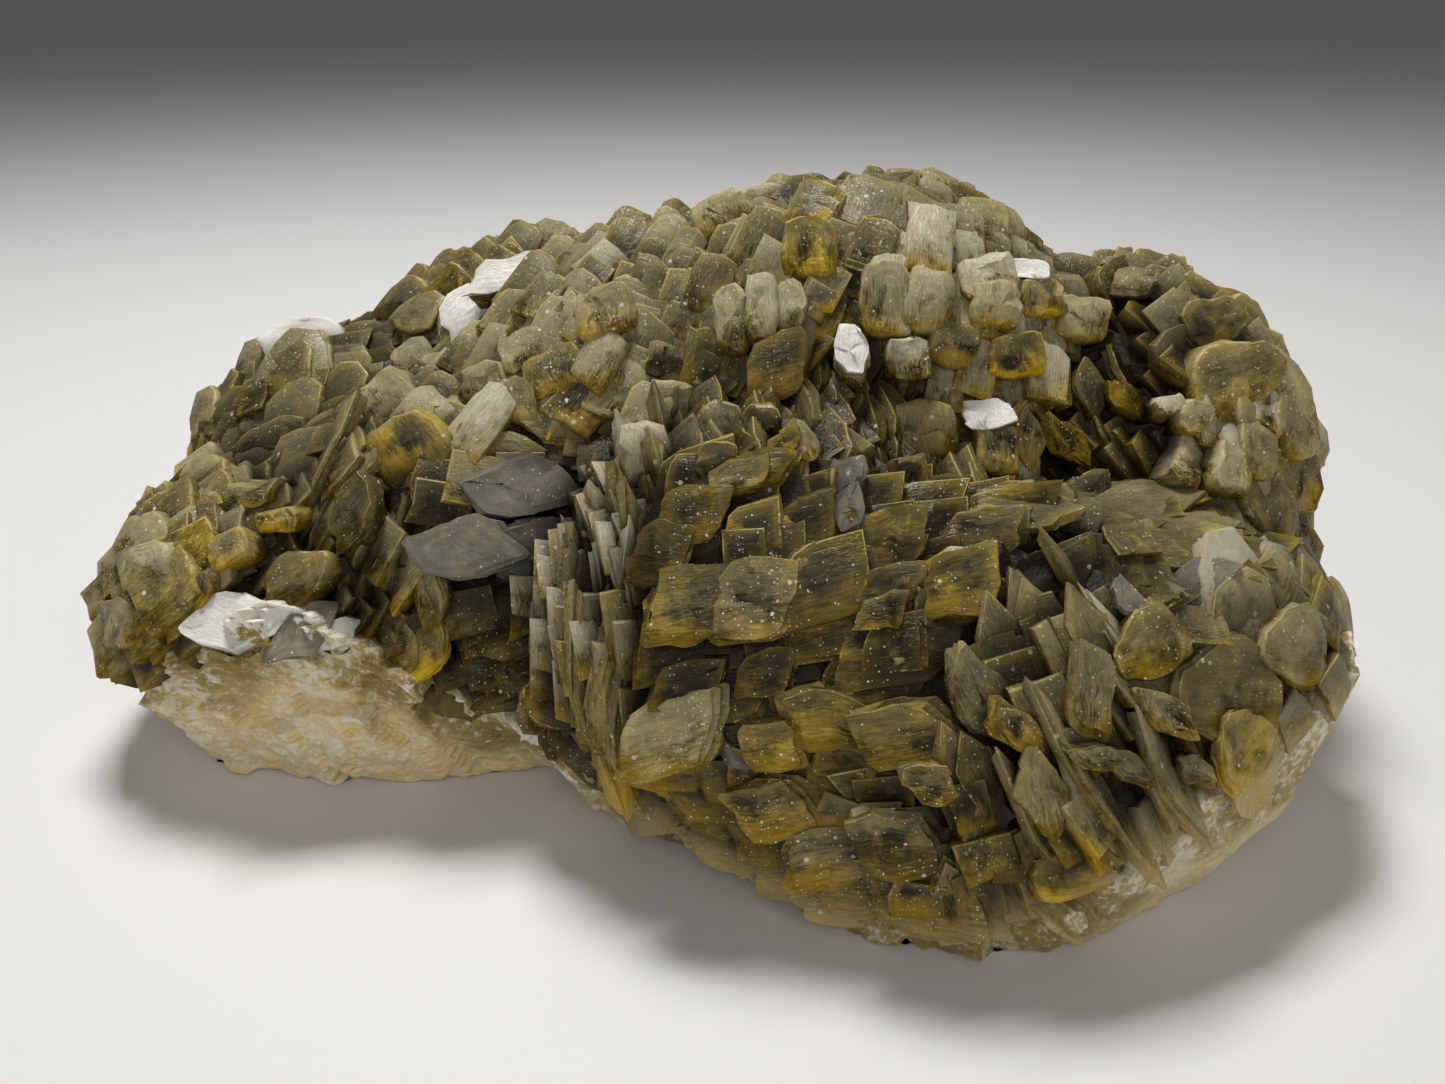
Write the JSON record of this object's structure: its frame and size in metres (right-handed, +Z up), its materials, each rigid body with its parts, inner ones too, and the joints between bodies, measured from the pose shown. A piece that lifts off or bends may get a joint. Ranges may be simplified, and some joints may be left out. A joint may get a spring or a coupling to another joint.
{
  "type": "raw siderite specimen",
  "caption": "Raw siderite mineral specimen: a low, lumpy cluster of overlapping flattened olive-brown crystals on its own pale broken root, with a flat underside to rest on.",
  "frame": {"origin": "middle of the bounding box, on the flat underside the specimen rests on", "axes": "+X along the specimen's length, to the right seen from the show side; -Y towards the viewer of the show side; +Z up"},
  "size_m": [0.2792, 0.1822, 0.1253],
  "materials": {
    "siderite": "translucent olive-brown crystals with fine growth lines and frosted ends, pale cream where the root is broken"
  },
  "bodies": {
    "root": {"siderite_cluster": "siderite"}
  },
  "joints": []
}
